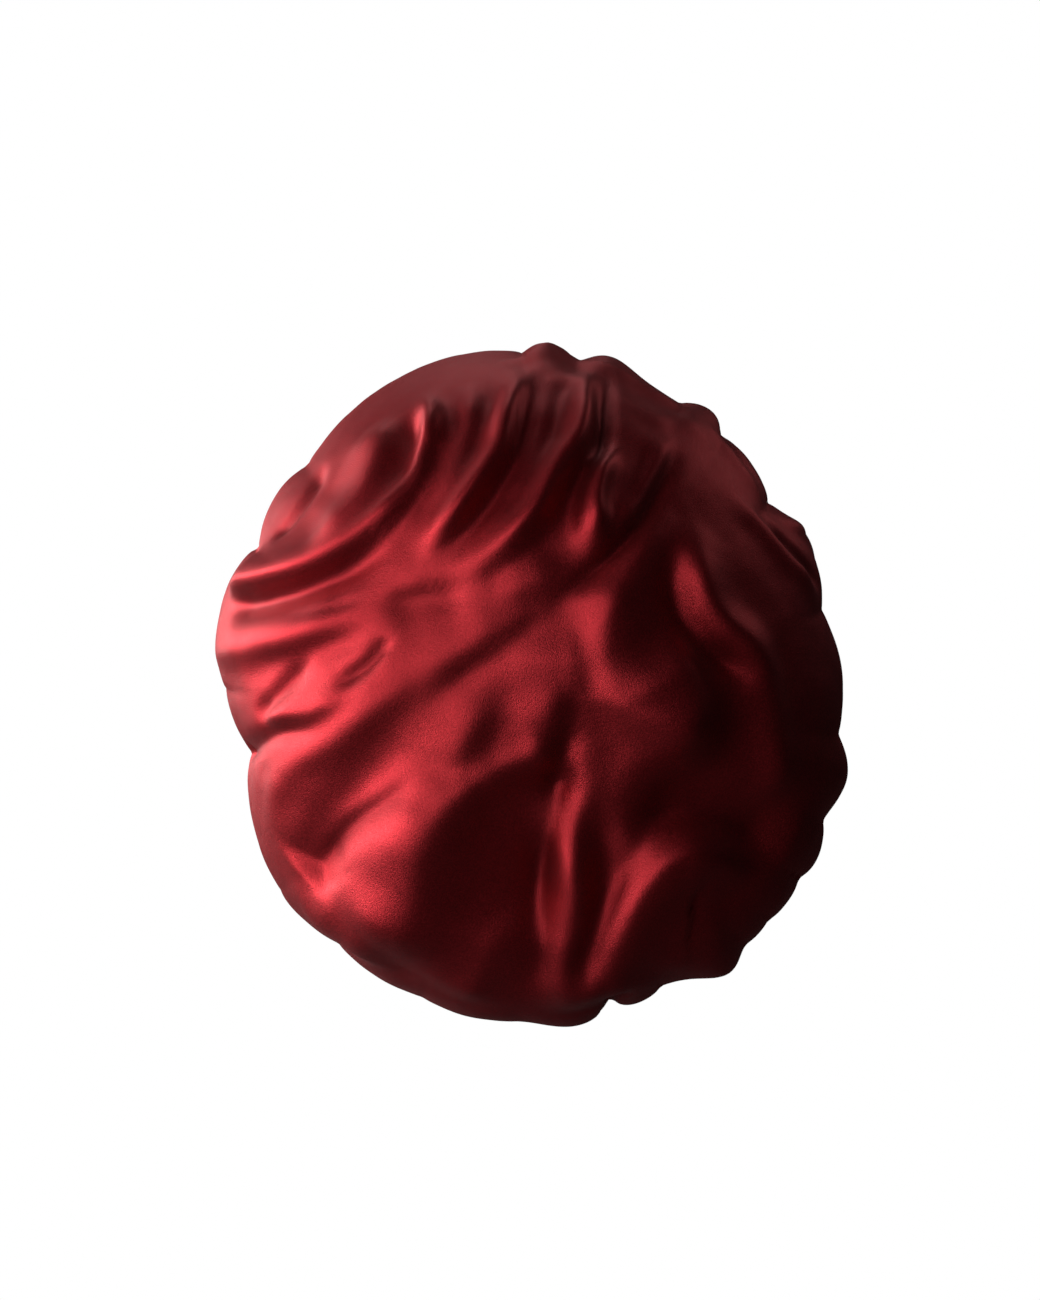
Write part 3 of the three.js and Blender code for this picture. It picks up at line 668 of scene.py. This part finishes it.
SURFACE_SOCKETS = [
    ("Shade", "INPUT", "NodeSocketColor"),
    ("Deep shade", "INPUT", "NodeSocketColor"),
    ("Roughness", "INPUT", "NodeSocketFloat"),
    ("Colour", "OUTPUT", "NodeSocketColor"),
    ("Roughness", "OUTPUT", "NodeSocketFloat"),
    ("Height", "OUTPUT", "NodeSocketFloat"),
]

# A Mix node's sockets for two colours and their mix
MIX_FIRST = 6
MIX_SECOND = 7
MIX_RESULT = 2

SATIN_FINISH = {
    "Metallic": 0.85,
    "Sheen Weight": 0.06,
    "Sheen Roughness": 0.45,
    "Sheen Tint": (1.0, 0.62, 0.64, 1),
    "Specular IOR Level": 0.25,
}
SATIN_RELIEF = {"Strength": 0.45, "Distance": 0.0003}

Satin = namedtuple("Satin", "name shade deep_shade roughness")
CROWN_SATIN = Satin("crimson_satin", (0.52, 0.034, 0.042, 1), (0.42, 0.023, 0.033, 1), 0.47)
CASING_SATIN = Satin("casing_satin", (0.48, 0.030, 0.037, 1), (0.38, 0.020, 0.029, 1), 0.49)


def node(tree, kind, values=None, **settings):
    """A new node with its settings, and plain values at some of its inputs."""
    made = tree.nodes.new(kind)
    for name, setting in settings.items():
        setattr(made, name, setting)
    for socket, value in (values or {}).items():
        made.inputs[socket].default_value = value
    return made


def noise_mask(tree, place, scale, detail):
    made = node(tree, "ShaderNodeTexNoise", {"Scale": scale, "Detail": detail})
    tree.links.new(place, made.inputs["Vector"])
    return made.outputs["Fac"]


def spread(tree, mask, low, high):
    """A noise's mask spread over a range."""
    made = node(tree, "ShaderNodeMapRange", {
        "From Min": NOISE_LOW, "From Max": NOISE_HIGH, "To Min": low, "To Max": high,
    })
    tree.links.new(mask, made.inputs["Value"])
    return made.outputs["Result"]


def combine(tree, operation, first, second):
    made = node(tree, "ShaderNodeMath", operation=operation)
    tree.links.new(first, made.inputs[0])
    tree.links.new(second, made.inputs[1])
    return made.outputs[0]


def satin_group():
    """Colour, roughness and height of satin: warp threads, grain, painted shade in tight creases and slow
    changes of shade.
    """
    tree = bpy.data.node_groups.new("satin_surface", "ShaderNodeTree")
    for name, way, kind in SURFACE_SOCKETS:
        tree.interface.new_socket(name, in_out=way, socket_type=kind)
    entry = node(tree, "NodeGroupInput")
    leave = node(tree, "NodeGroupOutput")
    cut = node(tree, "ShaderNodeUVMap", uv_map="cut")
    body = node(tree, "ShaderNodeTexCoord").outputs["Object"]
    link = tree.links.new

    threads = node(tree, "ShaderNodeMapping", {"Scale": THREAD_SCALE})
    link(cut.outputs["UV"], threads.inputs["Vector"])
    warp = noise_mask(tree, threads.outputs["Vector"], 1, FINE_DETAIL)
    grain = noise_mask(tree, body, GRAIN_SCALE, FINE_DETAIL)
    link(combine(tree, "ADD", warp, grain), leave.inputs["Height"])
    rough = combine(tree, "ADD", entry.outputs["Roughness"], spread(tree, grain, *GRAIN_ROUGHNESS))
    link(rough, leave.inputs["Roughness"])

    shade = node(tree, "ShaderNodeMix", data_type="RGBA")
    link(noise_mask(tree, body, SHADE_SCALE, SHADE_DETAIL), shade.inputs["Factor"])
    link(entry.outputs["Shade"], shade.inputs[MIX_FIRST])
    link(entry.outputs["Deep shade"], shade.inputs[MIX_SECOND])
    # Painted shade: the colour is darkened in tight valleys by the mask that the crown carries, and the
    # grain varies it too
    crease = node(tree, "ShaderNodeAttribute", attribute_name="painted_crease_shade")
    depth = node(tree, "ShaderNodeMath", {1: -PAINTED_SHADE_STRENGTH, 2: 1}, operation="MULTIPLY_ADD")
    link(crease.outputs["Fac"], depth.inputs[0])
    grain_and_painted_shade = combine(tree, "MULTIPLY", depth.outputs[0], spread(tree, grain, *GRAIN_TONES))
    grained_colour_with_painted_shade = node(tree, "ShaderNodeVectorMath", operation="SCALE")
    link(shade.outputs[MIX_RESULT], grained_colour_with_painted_shade.inputs[0])
    link(grain_and_painted_shade, grained_colour_with_painted_shade.inputs["Scale"])
    link(grained_colour_with_painted_shade.outputs["Vector"], leave.inputs["Colour"])
    return tree


def make_satin(kind, surface):
    material = bpy.data.materials.new(kind.name)
    material.use_nodes = True
    tree = material.node_tree
    shader = tree.nodes["Principled BSDF"]
    for socket, value in SATIN_FINISH.items():
        shader.inputs[socket].default_value = value
    weave = node(tree, "ShaderNodeGroup", node_tree=surface)
    weave.inputs["Shade"].default_value = kind.shade
    weave.inputs["Deep shade"].default_value = kind.deep_shade
    weave.inputs["Roughness"].default_value = kind.roughness
    bump = node(tree, "ShaderNodeBump", SATIN_RELIEF)
    link = tree.links.new
    link(weave.outputs["Colour"], shader.inputs["Base Color"])
    link(weave.outputs["Roughness"], shader.inputs["Roughness"])
    link(weave.outputs["Height"], bump.inputs["Height"])
    link(bump.outputs["Normal"], shader.inputs["Normal"])
    return material


# ---------------------------------------------------------------- room, light and camera

FLOOR_DROP = 0.40
FLOOR_SIZE = 30
FLOOR_GREY = (0.06, 0.06, 0.06, 1)
FLOOR_ROUGHNESS = 0.9
WHITE = (1, 1, 1, 1)
ROOM_LIGHT = 0.012

Lamp = namedtuple("Lamp", "name place width height power colour")
LAMPS = [
    Lamp("key_light", (-1.94, -0.40, 0.39), 0.8, 0.8, 20, (1, 0.96, 0.94)),
    Lamp("edge_light", (-1.78, 0.76, 0.50), 0.8, 0.8, 21, (1, 0.96, 0.94)),
    Lamp("soft_light", (-0.93, -1.65, 0.79), 0.9, 0.9, 7.2, (1, 0.97, 0.95)),
    Lamp("low_light", (-1.30, -1.20, -0.20), 0.9, 0.3, 4, (1, 0.94, 0.92)),
    Lamp("top_light", (-0.20, 1.20, 1.60), 0.8, 0.8, 2, (1, 0.97, 0.95)),
    Lamp("far_edge_light", (1.25, 1.00, 1.15), 0.6, 0.6, 1.2, (1, 0.84, 0.82)),
    Lamp("face_light", (-1.50, 1.90, 0.25), 1.0, 1.0, 5, (1, 0.98, 0.96)),
]

CAMERA_RISE = math.radians(2.5)
SENSOR = 36
FRAME_HEIGHT = 0.624


def show_to_camera(tree, seen, lit, surface):
    """Rays from the camera meet one shader, and all other rays meet the one that lights the cloth."""
    sight = node(tree, "ShaderNodeLightPath")
    blend = node(tree, "ShaderNodeMixShader")
    tree.links.new(sight.outputs["Is Camera Ray"], blend.inputs["Fac"])
    tree.links.new(lit, blend.inputs[1])
    tree.links.new(seen, blend.inputs[2])
    tree.links.new(blend.outputs["Shader"], surface)


def make_floor():
    """White to the eye, and dark to the light, so that it doesn't brighten the cloth from below."""
    bm = bmesh.new()
    bmesh.ops.create_grid(bm, x_segments=1, y_segments=1, size=FLOOR_SIZE / 2)
    bmesh.ops.translate(bm, verts=bm.verts, vec=(0, 0, -FLOOR_DROP))
    floor = finish_mesh(bm, "studio_floor")
    material = bpy.data.materials.new("pale_floor")
    material.use_nodes = True
    tree = material.node_tree
    shader = tree.nodes["Principled BSDF"]
    shader.inputs["Base Color"].default_value = FLOOR_GREY
    shader.inputs["Roughness"].default_value = FLOOR_ROUGHNESS
    glow = node(tree, "ShaderNodeEmission", {"Color": WHITE})
    surface = tree.nodes["Material Output"].inputs["Surface"]
    show_to_camera(tree, glow.outputs["Emission"], shader.outputs["BSDF"], surface)
    floor.data.materials.append(material)
    return floor


def make_world():
    """White to the eye, and a dim even light on the cloth."""
    world = bpy.data.worlds.new("studio")
    bpy.context.scene.world = world
    world.use_nodes = True
    tree = world.node_tree
    seen = tree.nodes["Background"]
    seen.inputs["Color"].default_value = WHITE
    dim = node(tree, "ShaderNodeBackground", {"Color": WHITE, "Strength": ROOM_LIGHT})
    surface = tree.nodes["World Output"].inputs["Surface"]
    show_to_camera(tree, seen.outputs["Background"], dim.outputs["Background"], surface)


def make_lights(target):
    for lamp in LAMPS:
        data = bpy.data.lights.new(lamp.name, "AREA")
        data.shape = "RECTANGLE"
        data.size, data.size_y = lamp.width, lamp.height
        data.energy = lamp.power
        data.color = lamp.colour
        light = bpy.data.objects.new(lamp.name, data)
        light.location = lamp.place
        light.rotation_euler = (target - light.location).to_track_quat("-Z", "Y").to_euler()
        bpy.context.collection.objects.link(light)


def make_camera(target):
    distance = VIEW_DISTANCE * MM
    data = bpy.data.cameras.new("camera")
    data.sensor_width = SENSOR
    data.lens = SENSOR * distance / FRAME_HEIGHT
    camera = bpy.data.objects.new("camera", data)
    away = Vector((0, -math.cos(CAMERA_RISE), math.sin(CAMERA_RISE)))
    camera.location = target + away * distance
    camera.rotation_euler = (-away).to_track_quat("-Z", "Y").to_euler()
    bpy.context.collection.objects.link(camera)
    bpy.context.scene.camera = camera


# ---------------------------------------------------------------- assembly

surface = satin_group()

crown = make_crown()
crown.data.materials.append(make_satin(CROWN_SATIN, surface))
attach(crown, "root")
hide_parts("crown")

band = make_band()
band.data.materials.append(make_satin(CASING_SATIN, surface))
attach(band, "root")
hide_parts("elastic_band")

make_floor()
make_world()
middle = Vector((VIEW_X, WIDEST_Y, VIEW_Z)) * MM
make_lights(middle)
make_camera(middle)
bpy.context.scene.view_settings.view_transform = "Standard"
